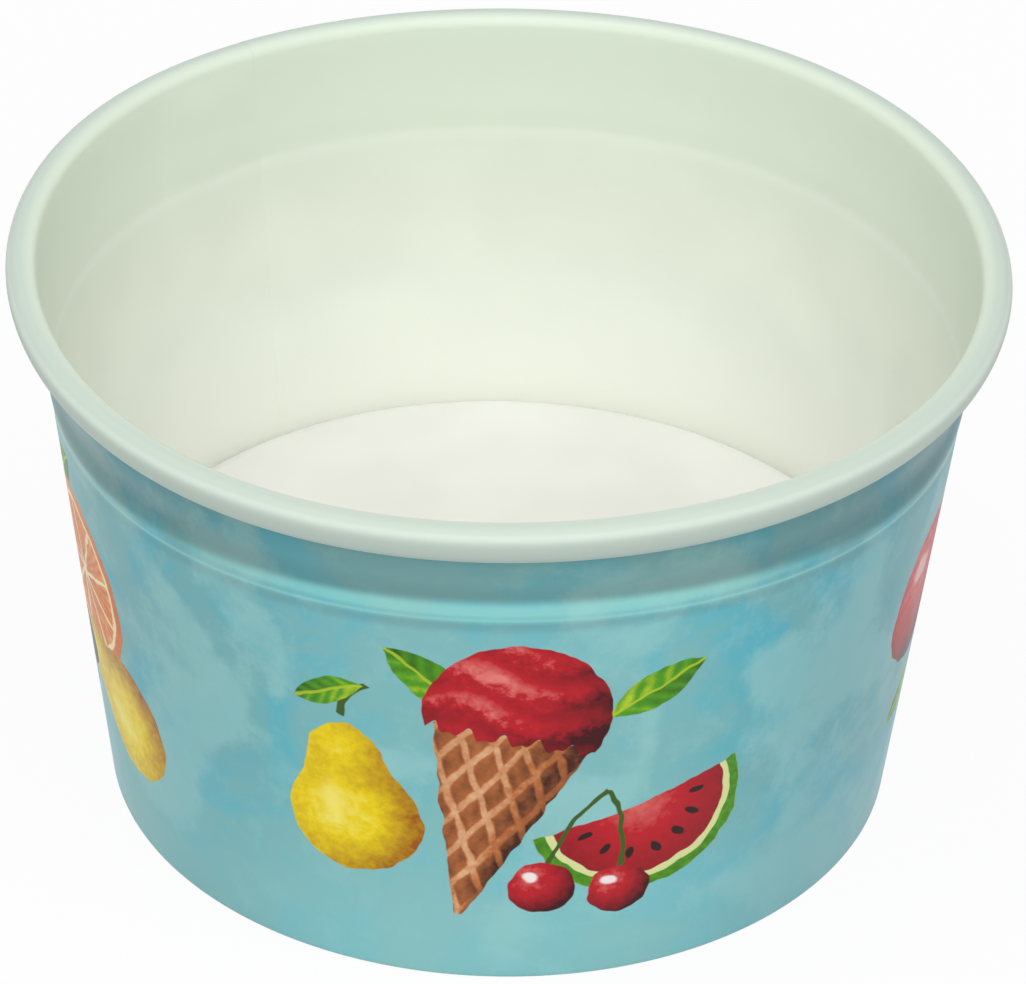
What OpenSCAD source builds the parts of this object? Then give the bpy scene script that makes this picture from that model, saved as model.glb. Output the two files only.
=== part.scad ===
// Paper ice cream cup: a conical board sidewall with a rolled rim and a turned-in hem,
// and a recessed bottom disc whose skirt is held in that hem.

/* [Cup] */
// Outer diameter over the rolled rim
rim_d = 95; // [90:0.5:110]
// Outer diameter of the base ring
base_d = 75.6; // [66:0.2:80]
// Height from the table to the top of the rim
cup_h = 57; // [52:0.5:90]
// Height of the inside floor above the table
floor_h = 15.8; // [13:0.2:20]

/* [Board] */
// Thickness of the sidewall board
wall_t = 0.4; // [0.3:0.02:0.5]
// Thickness of the bottom board
disc_t = 0.3; // [0.24:0.02:0.4]
// Glue gap on each side of the bottom disc's skirt
glue_gap = 0.05; // [0.03:0.01:0.1]

/* [Rim] */
// Width of the rolled rim across its section
rim_w = 2.9; // [2.8:0.1:3.4]
// Outer radius of the two bends on top of the rim
rim_top_r = 1.35; // [1:0.05:1.35]
// Outer radius of the tucked end of the roll
rim_tuck_r = 0.6; // [0.55:0.05:0.75]
// Gap between the tucked end and the wall
rim_gap = 0.05; // [0.03:0.01:0.1]

/* [Bead] */
// Height of the pressed bead's crest above the table
bead_h = 45; // [38:0.5:46]
// How far the bead stands out from the wall
bead_out = 0.15; // [0.1:0.05:0.35]
// Radius of the bead's rounded section
bead_r = 5; // [3:0.5:8]

/* [Seam] */
// Width of the glued lap at the rim
seam_w = 10; // [6:0.5:14]
// Where the lap starts, turned from the +X axis
seam_angle = 112; // [0:4:356]
// Gap between the end of the lap and the rolled rim
seam_gap = 0.3; // [0.2:0.05:0.6]

/* [Base] */
// Height of the turned-in hem
hem_h = 9; // [6:0.5:10]
// How far the fold at the base is pressed flat where the cup stands
base_press = 0.04; // [0.02:0.01:0.08]
// Outer radius of the bend between floor and skirt
floor_bend_r = 2; // [1:0.1:3]

/* [Hidden] */
$fn = 96;

// The board is folded at the base round a half circle that leaves room for the skirt.
fold_r = wall_t + glue_gap + disc_t / 2;
fold_x = base_d / 2 - fold_r;
fold_z = fold_r - base_press;
wall_in = fold_r - wall_t;

// The wall leans out so that the rim and the base both have their set diameters.
rim_rise = cup_h - rim_top_r - fold_z;
rim_run = rim_d / 2 - rim_top_r - fold_x;
rim_near = wall_in + rim_top_r;
rim_far = wall_in + rim_w - rim_top_r;
function lean_step(s) = (rim_run * sqrt(1 - s * s) - rim_far * (1 - s * s) - rim_near * s * s) / rim_rise;
lean = asin(lean_step(lean_step(lean_step(lean_step(0)))));
wall_l = (rim_rise + rim_near * sin(lean)) / cos(lean);

// The underside of the roll turns by the larger angle of a 3-4-5 triangle, then tucks in beside the wall.
tuck_angle = acos(3 / 5);
tuck_shift = (rim_w - wall_t - rim_gap - 2 * rim_tuck_r) / (1 - cos(tuck_angle));
rim_under_r = tuck_shift + rim_tuck_r;
rim_drop = tuck_shift * sin(tuck_angle) + rim_tuck_r;

bead_y = (bead_h - fold_z + fold_r * sin(lean)) / cos(lean);
seam_top = wall_l - rim_drop - seam_gap;
seam_turn = seam_w / (rim_d / 2 - rim_w) * 180 / PI;
// An added layer of board starts halfway into the wall, so that the two are one solid.
seam_sink = wall_t / 2;

// The floor bends down into a skirt that leans with the wall and ends at the fold.
floor_bend_x = disc_t / 2 - floor_bend_r;
skirt_l = (floor_h - floor_bend_r - fold_z + floor_bend_x * sin(lean)) / cos(lean);
floor_bend_at = [
    fold_x + floor_bend_x * cos(lean) + skirt_l * sin(lean),
    floor_h - floor_bend_r
];
skirt_end = [fold_x, fold_z];
skirt_half = disc_t / 2 * [cos(lean), -sin(lean)];
floor_bend_steps = 10;
// Reach of the wedges that cut rings into bends, well past any radius here
wedge_reach = 100;

// Points along an arc, from one angle to another
function arc(centre, r, from, to, steps) = [
    for (i = [0 : steps])
        let (a = from + (to - from) * i / steps)
        centre + r * [cos(a), sin(a)]
];

// Wedge that keeps the part of a ring between two angles
module wedge(from, to) {
    middle = (from + to) / 2;
    polygon([
        [0, 0],
        wedge_reach * [cos(from), sin(from)],
        wedge_reach * [cos(middle), sin(middle)],
        wedge_reach * [cos(to), sin(to)]
    ]);
}

// Bent stretch of board, of outer radius r and thickness t
module bend(r, t, from, to) {
    intersection() {
        difference() {
            circle(r);
            circle(r - t);
        }
        wedge(from, to);
    }
}

// Places a section drawn on an upright wall so that it leans with the cup
module leaning() {
    translate([fold_x, fold_z]) rotate(-lean) children();
}

// Round swelling of the bead, grown by some thickness, on the outer half of the board
module bead_swell(grow) {
    intersection() {
        translate([fold_r + bead_out - bead_r, bead_y]) circle(bead_r + grow);
        translate([fold_r - seam_sink, bead_y - bead_r]) square([bead_r, 2 * bead_r]);
    }
}

// Straight wall with the bead pressed out of it
module wall_section() {
    difference() {
        union() {
            translate([wall_in, 0]) square([wall_t, wall_l]);
            bead_swell(0);
        }
        translate([fold_r + bead_out - bead_r, bead_y]) circle(bead_r - wall_t);
    }
}

// Roll at the top, turned outwards, down and in towards the wall
module rim_section() {
    translate([rim_near, wall_l]) bend(rim_top_r, wall_t, 90, 180);
    translate([rim_near, wall_l + rim_top_r - wall_t]) square([rim_far - rim_near, wall_t]);
    translate([rim_far, wall_l]) bend(rim_top_r, wall_t, 0, 90);
    translate([wall_in + rim_w - rim_under_r, wall_l]) {
        bend(rim_under_r, wall_t, -tuck_angle, 0);
        rotate(-tuck_angle) translate([tuck_shift, 0])
            bend(rim_tuck_r, wall_t, tuck_angle - 180, 0);
    }
}

// Fold round the skirt's lower edge, and the hem that stands up inside it
module hem_section() {
    bend(fold_r, wall_t, -180, -90);
    bend(fold_r, wall_t, -90, 0);
    translate([-fold_r, 0]) square([wall_t, hem_h]);
}

// Second layer of board along the side seam
module seam_section() {
    translate([fold_r - seam_sink, fold_r]) square([wall_t + seam_sink, seam_top - fold_r]);
    bead_swell(wall_t);
}

module sidewall() {
    color("lightblue") {
        rotate_extrude() intersection() {
            leaning() {
                wall_section();
                rim_section();
                hem_section();
            }
            square([rim_d, 2 * cup_h]);
        }
        rotate(seam_angle) rotate_extrude(angle = seam_turn) leaning() seam_section();
    }
}

module bottom_disc() {
    color("ivory") rotate_extrude() polygon(concat(
        [[0, floor_h]],
        arc(floor_bend_at, floor_bend_r, 90, -lean, floor_bend_steps),
        [skirt_end + skirt_half, skirt_end - skirt_half],
        arc(floor_bend_at, floor_bend_r - disc_t, -lean, 90, floor_bend_steps),
        [[0, floor_h - disc_t]]
    ));
}

sidewall();
bottom_disc();
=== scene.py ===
import math

import bmesh
import bpy
import numpy as np
from bpy.props import FloatProperty, FloatVectorProperty, IntProperty, PointerProperty
from bpy.types import Operator, Panel, PropertyGroup
from mathutils import Matrix, Vector


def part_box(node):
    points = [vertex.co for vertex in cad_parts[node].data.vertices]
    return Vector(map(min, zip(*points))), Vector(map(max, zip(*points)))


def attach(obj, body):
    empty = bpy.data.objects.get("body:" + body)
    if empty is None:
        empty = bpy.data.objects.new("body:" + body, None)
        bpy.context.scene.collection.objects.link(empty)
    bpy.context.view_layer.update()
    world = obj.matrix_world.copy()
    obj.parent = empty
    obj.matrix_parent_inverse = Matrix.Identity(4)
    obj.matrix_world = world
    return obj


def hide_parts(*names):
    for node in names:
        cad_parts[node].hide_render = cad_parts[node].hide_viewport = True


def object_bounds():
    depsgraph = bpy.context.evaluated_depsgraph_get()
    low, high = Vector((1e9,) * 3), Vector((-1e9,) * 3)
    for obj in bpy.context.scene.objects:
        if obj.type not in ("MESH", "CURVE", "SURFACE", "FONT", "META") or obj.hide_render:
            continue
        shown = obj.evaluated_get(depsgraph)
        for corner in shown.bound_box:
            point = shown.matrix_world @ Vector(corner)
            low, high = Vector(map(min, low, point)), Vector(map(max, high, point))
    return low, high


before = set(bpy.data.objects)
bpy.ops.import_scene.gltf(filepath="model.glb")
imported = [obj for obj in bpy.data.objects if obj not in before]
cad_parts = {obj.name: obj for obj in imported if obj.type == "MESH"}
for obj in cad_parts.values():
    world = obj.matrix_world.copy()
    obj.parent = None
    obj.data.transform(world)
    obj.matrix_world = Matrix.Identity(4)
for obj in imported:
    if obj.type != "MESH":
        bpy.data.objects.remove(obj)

bl_info = {
    "name": "Paper Ice Cream Cup",
    "version": (1, 0, 0),
    "blender": (4, 5, 0),
    "location": "View3D > Sidebar > Cup",
    "description": "Board cup with a rolled rim, a pressed bead, a lapped seam and a printed side",
    "category": "Add Mesh",
}

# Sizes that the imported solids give
CAD_LOW, CAD_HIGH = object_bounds()
RIM_DIAMETER = CAD_HIGH.x - CAD_LOW.x
CUP_HEIGHT = CAD_HIGH.z - CAD_LOW.z
FLOOR_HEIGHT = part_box("bottom_disc")[1][2]

MM = 0.001
PER_METRE = 1000.0
TURN = 2 * math.pi
IMAGE_WIDTH = 1026
SENSOR_WIDTH = 36.0
FRONT_ANGLE = math.radians(270)


def length(name, description, default):
    """A length property in metres."""
    return FloatProperty(name=name, description=description, default=default, min=0.0, unit="LENGTH")


def angle(name, description, degrees):
    """An angle property, given in degrees."""
    return FloatProperty(
        name=name, description=description, default=math.radians(degrees), subtype="ANGLE"
    )


def colour(name, description, red, green, blue):
    """A colour property, given as it looks on a screen, from 0 to 255."""
    return FloatVectorProperty(
        name=name,
        description=description,
        default=(red / 255, green / 255, blue / 255),
        size=3,
        min=0.0,
        max=1.0,
        subtype="COLOR_GAMMA",
    )


class CupSizes(PropertyGroup):
    """Sizes of the board cup."""

    rim_d: length("Rim diameter", "Outer diameter over the rolled rim", RIM_DIAMETER)
    base_d: length("Base diameter", "Outer diameter of the base ring", 75.6 * MM)
    cup_h: length("Height", "From the table to the top of the rim", CUP_HEIGHT)
    floor_h: length("Floor height", "Inside floor above the table", FLOOR_HEIGHT)
    wall_t: length("Wall board", "Thickness of the sidewall board", 0.4 * MM)
    disc_t: length("Bottom board", "Thickness of the bottom board", 0.3 * MM)
    glue_gap: length("Glue gap", "Gap on each side of the bottom's skirt", 0.05 * MM)
    rim_w: length("Rim width", "Width of the roll across its section", 2.9 * MM)
    rim_top_r: length("Rim bend", "Outer radius of the two bends on top", 1.35 * MM)
    rim_tuck_r: length("Rim tuck", "Outer radius of the tucked end", 0.6 * MM)
    rim_gap: length("Rim gap", "Gap between the tucked end and the wall", 0.05 * MM)
    rim_saddle: length("Rim saddle", "How far the rim rises and dips twice round", 0.23 * MM)
    rim_saddle_at: angle("Rim saddle, place", "Where the saddle is high, from +X", -18.0)
    rim_ripple: length("Rim ripple", "How far the rim rises and dips three times round", 0.42 * MM)
    rim_ripple_at: angle("Rim ripple, place", "Where the ripple is high, from +X", 41.4)
    bead_h: length("Bead height", "Crest of the pressed bead above the table", 44.9 * MM)
    bead_out: length("Bead", "How far the bead's crest stands out", 0.1 * MM)
    bead_below: length("Bead slope below", "Length of the slope under the crest", 1.2 * MM)
    bead_above: length("Bead slope above", "Length of the slope over the crest", 2.3 * MM)
    neck_in: length("Neck", "How far the neck over the bead is set in", 0.28 * MM)
    neck_l: length("Neck length", "From the neck's deepest place up to the wall's line", 3.6 * MM)
    bead_inside: FloatProperty(
        name="Bead inside", description="Share of the bead that shows inside", default=0.15, min=0.0
    )
    hem_h: length("Hem height", "Height of the turned-in hem", 9.0 * MM)
    base_press: length("Base press", "How far the fold is pressed flat", 0.04 * MM)
    floor_bend_r: length("Floor bend", "Bend between floor and skirt", 2.0 * MM)
    floor_sag: length("Floor sag", "How far the floor waves up and down", 0.12 * MM)
    lap_w: length("Lap width", "Width of the glued lap at the rim", 10.0 * MM)
    lap_gap: length("Lap gap", "Glue between the two layers of the lap", 0.005 * MM)
    lap_edge: length("Lap edge", "Step at the inner layer's thinned edge", 0.03 * MM)
    lap_flat: length("Lap flat", "How far the board lies flat beside the lap", 0.35 * MM)
    lap_ramp: length("Lap ramp", "Where the board rises over the lap's edge", 13.0 * MM)
    lap_trim: length("Lap trim", "Height over which the lap is cut away at the base", 3.0 * MM)
    seam_angle: angle("Seam angle", "Where the inner layer ends, from +X", 125.0)
    columns: IntProperty(
        name="Columns", description="Steps of the board round the cup", default=300, min=24, max=420
    )


class CupColours(PropertyGroup):
    """Colours of the board and of the print."""

    board: colour("Board", "Coated white board", 233, 237, 225)
    # Painted light: the inside wall is painted paler low down, where light gathers near the floor
    board_low_painted_light: colour("Board, low", "Coated white board near the floor", 238, 241, 231)
    # Painted shade: the inside wall is painted darker and greener towards the rim
    board_top_painted_shade: colour("Board, top", "Coated white board under the rim", 215, 226, 209)
    # Painted highlight: a pale line along the bead on the inside
    bead_highlight_inside: colour("Crease", "Pale line inside the bead", 240, 244, 236)
    # Painted shade: the rolled board is painted greyer than the wall's white
    rim: colour("Rim", "White board where it is rolled", 191, 204, 193)
    # Painted highlight: a paler band along the roll's outer shoulder
    rim_shoulder_highlight: colour("Rim, edge", "White board on the roll's outer shoulder", 218, 231, 220)
    # Painted shade: the underside of the roll is painted darker
    rim_under_shade: colour("Rim, underside", "White board on the underside of the roll", 186, 202, 193)
    disc: colour("Bottom board", "Coated white board of the floor", 223, 222, 218)
    wash: colour("Wash", "Main blue of the wash", 119, 181, 185)
    wash_pale: colour("Wash, pale", "Pale blooms in the wash", 150, 204, 203)
    wash_deep: colour("Wash, deep", "Strong blue in the wash", 90, 182, 197)
    wash_low: colour("Wash, low", "Pale blue towards the base", 146, 205, 206)
    # Painted shade: it greys the wash at the cup's sides
    wash_side_shade: colour("Wash, side", "How the cup's sides grey the wash", 224, 229, 236)
    # Painted shade: it darkens the wash in the rim's painted shadow over the bead and in a line under the
    # bead
    wash_shade: colour("Wash, neck", "How the band between bead and rim darkens the wash", 205, 190, 187)
    # Painted highlight: a pale line on the bead's crest and its upper slope
    wash_crest_highlight: colour("Wash, crest", "Pale line over the bead", 160, 228, 218)
    wafer: colour("Wafer", "Wafer brown", 184, 108, 58)
    red: colour("Red", "Red fruit", 192, 24, 38)
    yellow: colour("Yellow", "Yellow fruit", 240, 212, 8)
    orange: colour("Orange", "Orange fruit", 228, 120, 22)
    green: colour("Green", "Leaves", 84, 158, 22)
    violet: colour("Violet", "Dark fruit", 70, 56, 120)


class CupStage(PropertyGroup):
    """Camera, lights and floor."""

    camera_distance: length("Camera distance", "From the camera to its aim", 0.8)
    camera_height: angle("Camera height", "How far the camera looks down", 33.81)
    camera_roll: angle("Camera roll", "Tilt of the picture", 1.39)
    camera_lens: FloatProperty(
        name="Lens", description="Focal length in pixels of the picture", default=8322.0, min=1.0
    )
    camera_aim_x: length("Aim, across", "Where the camera aims, across the cup", 0.86 * MM)
    camera_aim_z: length("Aim, up", "Where the camera aims, up the cup", 30.0 * MM)
    top_light: FloatProperty(name="Top light", description="Watts overhead", default=4.0, min=0.0)
    front_light: FloatProperty(name="Front light", description="Watts in front", default=6.6, min=0.0)
    sky: FloatProperty(name="Sky", description="Light from all round", default=0.52, min=0.0)
    floor: colour("Floor", "Pale floor", 214, 214, 214)


def arithmetic(operation, swapped=False):
    """Method of a wire that adds one Math node, with the wire second if swapped."""
    def method(self, other):
        first, second = (other, self) if swapped else (self, other)
        return self.graph.math(operation, first, second)
    return method


class Wire:
    """Value in a node tree; arithmetic on it adds Math nodes."""

    def __init__(self, graph, socket):
        self.graph = graph
        self.socket = socket

    __add__ = arithmetic("ADD")
    __radd__ = arithmetic("ADD", swapped=True)
    __sub__ = arithmetic("SUBTRACT")
    __rsub__ = arithmetic("SUBTRACT", swapped=True)
    __mul__ = arithmetic("MULTIPLY")
    __rmul__ = arithmetic("MULTIPLY", swapped=True)
    __truediv__ = arithmetic("DIVIDE")
    __rtruediv__ = arithmetic("DIVIDE", swapped=True)
    __pow__ = arithmetic("POWER")

    def __neg__(self):
        return self * -1.0

    def __abs__(self):
        return self.graph.math("ABSOLUTE", self)

    def output(self, name):
        """Another output of the node that this value comes from."""
        return Wire(self.graph, self.socket.node.outputs[name])


class Graph:
    """Node tree that is built up node by node."""

    def __init__(self, tree):
        self.tree = tree

    def node(self, kind, settings=None, inputs=None, output=0):
        """Adds a node, with its settings first, and gives one of its outputs."""
        node = self.tree.nodes.new(kind)
        for name, value in (settings or {}).items():
            setattr(node, name, value)
        for name, value in (inputs or {}).items():
            self.join(value, node.inputs[name])
        return Wire(self, node.outputs[output]) if len(node.outputs) else node

    def join(self, value, socket):
        """Links a wire to a socket, or sets the socket to a plain value."""
        if isinstance(value, Wire):
            self.tree.links.new(value.socket, socket)
        else:
            socket.default_value = value

    def math(self, operation, *values):
        """Adds one Math node."""
        return self.node("ShaderNodeMath", {"operation": operation}, dict(enumerate(values)))


def math_function(operation):
    """Function that puts a wire, and what comes after it, through one Math node."""
    def function(wire, *values):
        return wire.graph.math(operation, wire, *values)
    return function


smaller = math_function("MINIMUM")
larger = math_function("MAXIMUM")
sine = math_function("SINE")
cosine = math_function("COSINE")
root = math_function("SQRT")
heading_of = math_function("ARCTAN2")
# Joins two depths softly, over the third value
soft_larger = math_function("SMOOTH_MAX")
# One where the first value is over the second, and nought elsewhere
over = math_function("GREATER_THAN")
# What is left of a value over its last whole number
fraction = math_function("FRACT")


def smooth(value, low, high):
    """Soft step from nought at low to one at high."""
    return value.graph.node(
        "ShaderNodeMapRange",
        {"interpolation_type": "SMOOTHSTEP"},
        {"Value": value, "From Min": low, "From Max": high},
    )


def rise_mm(value, start, full):
    """Soft step between two places in mm."""
    return smooth(value, start * MM, full * MM)


def strip_mm(value, start, full, last, end, strength):
    """Soft band that rises from its start and falls to its end, in mm, with its strength."""
    return rise_mm(value, start, full) * (1 - rise_mm(value, last, end)) * strength


def mix(factor, first, second, way="MIX"):
    """Colour between two colours, or one laid over the other in another way."""
    graph = next(item.graph for item in (factor, first, second) if isinstance(item, Wire))
    settings = {"data_type": "RGBA", "blend_type": way}
    return graph.node("ShaderNodeMix", settings, {0: factor, 6: first, 7: second}, output=2)


def tones(value, shades):
    """Colour from a list of shades, dark to light, spread evenly from nought to one."""
    shade = value.graph.node("ShaderNodeValToRGB", inputs={"Fac": value})
    stops = shade.socket.node.color_ramp.elements
    while len(stops) < len(shades):
        stops.new(1.0)
    for step, stop in enumerate(stops):
        stop.position = step / (len(shades) - 1)
        stop.color = shades[step]
    return shade


def noise(place, scale, detail=2.0, roughness=0.5, swirl=0.0):
    """Cloudy value about a half."""
    return place.graph.node(
        "ShaderNodeTexNoise",
        inputs={
            "Vector": place,
            "Scale": scale,
            "Detail": detail,
            "Roughness": roughness,
            "Distortion": swirl,
        },
    )


def linear(screen_colour):
    """Colour as light from a colour as it looks on a screen."""
    light = [
        part / 12.92 if part <= 0.04045 else ((part + 0.055) / 1.055) ** 2.4 for part in screen_colour
    ]
    return (*light, 1.0)


def blend(first, second, share):
    """Colour between two plain colours."""
    return tuple(a + (b - a) * share for a, b in zip(first, second))


# The board's section

LEAN_STEPS = 6
# Points along each stretch of the section
HEM_POINTS = 6
TRIM_POINTS = 9
WALL_POINTS = 24
BEAD_POINTS = 25
NECK_POINTS = 5
# Steps of each bend
FOLD_STEPS = 14
RIM_STEPS = 9
UNDER_STEPS = 12
TUCK_STEPS = 10
# Where the wall starts to lie flat beside the lap, and how soon it does, as shares of its length
FLAT_START = 0.35
FLAT_RISE = 0.4


class Section:
    """Sizes of the section that follow from the cup's sizes, as in the part's source."""

    def __init__(self, sizes):
        self.sizes = sizes
        self.fold_r = sizes.wall_t + sizes.glue_gap + sizes.disc_t / 2
        self.fold_x = sizes.base_d / 2 - self.fold_r
        self.fold_z = self.fold_r - sizes.base_press
        self.wall_in = self.fold_r - sizes.wall_t
        self.rim_near = self.wall_in + sizes.rim_top_r
        self.rim_far = self.wall_in + sizes.rim_w - sizes.rim_top_r
        rise = sizes.cup_h - sizes.rim_top_r - self.fold_z
        run = sizes.rim_d / 2 - sizes.rim_top_r - self.fold_x
        self.lean = self.find_lean(rise, run)
        self.wall_l = (rise + self.rim_near * math.sin(self.lean)) / math.cos(self.lean)
        # The underside of the roll turns by the larger angle of a 3-4-5 triangle
        self.tuck_angle = math.acos(3 / 5)
        spare = sizes.rim_w - sizes.wall_t - sizes.rim_gap - 2 * sizes.rim_tuck_r
        self.tuck_shift = spare / (1 - math.cos(self.tuck_angle))
        self.rim_under_r = self.tuck_shift + sizes.rim_tuck_r
        half = sizes.wall_t / 2
        over_rim = math.pi * (sizes.rim_top_r - half) + self.rim_far - self.rim_near
        under_rim = (self.rim_under_r - half) * self.tuck_angle
        self.tuck_start = self.wall_l + over_rim + under_rim
        bead_rise = sizes.bead_h - self.fold_z + self.fold_r * math.sin(self.lean)
        self.bead_y = bead_rise / math.cos(self.lean)

    def find_lean(self, rise, run):
        """Angle of the wall at which rim and base both have their set diameters."""
        tilt = 0.0
        for _ in range(LEAN_STEPS):
            level = 1 - tilt * tilt
            tilt = (run * math.sqrt(level) - self.rim_far * level - self.rim_near * tilt * tilt) / rise
        return math.asin(tilt)

    def stand(self, x, y):
        """Radius and height of a point that is given on the upright wall."""
        out, up = self.turn(x, y)
        return self.fold_x + out, self.fold_z + up

    def turn(self, x, y):
        """Direction on the cup of a direction that is given on the upright wall."""
        sine_lean = math.sin(self.lean)
        cosine_lean = math.cos(self.lean)
        return x * cosine_lean + y * sine_lean, y * cosine_lean - x * sine_lean

    def relief(self, y):
        """How far the outer face stands out at a height up the wall: the bead, and the neck set in."""
        sizes = self.sizes
        stops = (
            (-sizes.bead_below, 0.0),
            (0.0, sizes.bead_out),
            (sizes.bead_above, -sizes.neck_in),
            (sizes.bead_above + sizes.neck_l, 0.0),
        )
        off = y - self.bead_y
        for (low, start), (high, stop) in zip(stops, stops[1:]):
            if low <= off <= high:
                ease = 0.5 - 0.5 * math.cos(math.pi * (off - low) / (high - low))
                return start + (stop - start) * ease
        return 0.0


def bend(centre, radius, start, stop, steps, side):
    """Points and printed-side directions of a bend; side is 1 where the print is outside.

    Each comes with how far the board is thickened, which is nowhere in a bend.
    """
    made = []
    for step in range(steps + 1):
        turned = math.radians(start + (stop - start) * step / steps)
        ray = (math.cos(turned), math.sin(turned))
        point = (centre[0] + radius * ray[0], centre[1] + radius * ray[1])
        made.append((point, (side * ray[0], side * ray[1]), 0.0))
    return made


def wall_rows(section):
    """Heights of the wall's rows, closer together at the base, the bead and the neck."""
    bead_low = section.bead_y - section.sizes.bead_below
    neck_high = section.bead_y + section.sizes.bead_above + section.sizes.neck_l
    trim = section.sizes.lap_trim
    low = np.linspace(0, trim, TRIM_POINTS)
    below = np.linspace(trim, bead_low, WALL_POINTS)
    across = np.linspace(bead_low, neck_high, BEAD_POINTS)
    above = np.linspace(neck_high, section.wall_l, NECK_POINTS)
    return np.concatenate([low[1:], below[1:], across[1:], above[1:-1]])


def board_path(section):
    """Middle of the board from the hem's end to the rim's tucked end, each point with its printed side."""
    sizes = section.sizes
    half = sizes.wall_t / 2
    hem_x = half - section.fold_r
    made = [((hem_x, y), (-1.0, 0.0), 0.0) for y in np.linspace(sizes.hem_h, 0, HEM_POINTS)[:-1]]
    made += bend((0, 0), section.fold_r - half, 180, 360, FOLD_STEPS, 1)
    wall_x = section.fold_r - half
    for y in wall_rows(section):
        outside = section.relief(y)
        inside = outside * sizes.bead_inside
        made.append(((wall_x + (outside + inside) / 2, y), (1.0, 0.0), outside - inside))
    top = sizes.rim_top_r - half
    made += bend((section.rim_near, section.wall_l), top, 180, 90, RIM_STEPS, -1)
    made += bend((section.rim_far, section.wall_l), top, 90, 0, RIM_STEPS, -1)
    under = (section.wall_in + sizes.rim_w - section.rim_under_r, section.wall_l)
    tuck = math.degrees(section.tuck_angle)
    made += bend(under, section.rim_under_r - half, 0, -tuck, UNDER_STEPS, -1)[1:]
    tuck_at = (
        under[0] + section.tuck_shift * math.cos(section.tuck_angle),
        under[1] - section.tuck_shift * math.sin(section.tuck_angle),
    )
    made += bend(tuck_at, sizes.rim_tuck_r - half, -tuck, -180, TUCK_STEPS, -1)[1:]
    return made


def lap_share(section, slant):
    """How much of the lap is there: none at the fold, all of it up the wall, none in the rim's tuck."""
    trim = section.sizes.lap_trim
    return min(max(min(slant, section.tuck_start - slant) / trim, 0.0), 1.0)


def flat_share(section, slant):
    """How flat the board lies beside the lap: not at all low down, most under the rim, none in the roll."""
    climb = (slant / section.wall_l - FLAT_START) / FLAT_RISE
    fall = (section.wall_l - slant) / section.sizes.rim_w
    return min(max(min(climb, fall), 0.0), 1.0)


def board_outline(section):
    """Closed outline of the board's section, first the printed face and then back along the white one."""
    path = board_path(section)
    points = np.array([point for point, _, _ in path])
    steps = np.hypot(*np.diff(points, axis=0).T)
    along = np.concatenate([[0], np.cumsum(steps)])
    wall_start = section.sizes.hem_h + math.pi * (section.fold_r - section.sizes.wall_t / 2)
    printed = []
    white = []
    for (point, face, swell), distance in zip(path, along):
        face_r, face_z = section.turn(*face)
        slant = distance - wall_start
        share = lap_share(section, slant)
        flat = flat_share(section, slant)
        thick = (section.sizes.wall_t + swell) / section.sizes.wall_t
        for row, side in ((printed, 1), (white, -1)):
            offset = side * (section.sizes.wall_t + swell) / 2
            out, up = section.stand(point[0] + face[0] * offset, point[1] + face[1] * offset)
            row.append((out, max(up, 0.0), face_r, face_z, share, max(side, 0), slant, flat, thick))
    return printed + white[::-1]


OUTLINE_VALUES = ("out", "up", "face_out", "face_up", "lap", "printed", "slant", "flat", "thick")


def outline_mesh(name, outline):
    """Loop of edges whose points carry the values of the section's outline."""
    mesh = bpy.data.meshes.new(name)
    count = len(outline)
    points = [(row[0], 0.0, row[1]) for row in outline]
    mesh.from_pydata(points, [(spot, (spot + 1) % count) for spot in range(count)], [])
    for place, label in enumerate(OUTLINE_VALUES):
        values = mesh.attributes.new(label, "FLOAT", "POINT")
        values.data.foreach_set("value", [row[place] for row in outline])
    return mesh


# The tree that wraps the board round the cup

SOCKETS = {int: "NodeSocketInt", float: "NodeSocketFloat", bpy.types.Material: "NodeSocketMaterial"}
# A face is printed where its printed value is over this
PRINTED_FROM = 0.9


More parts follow.
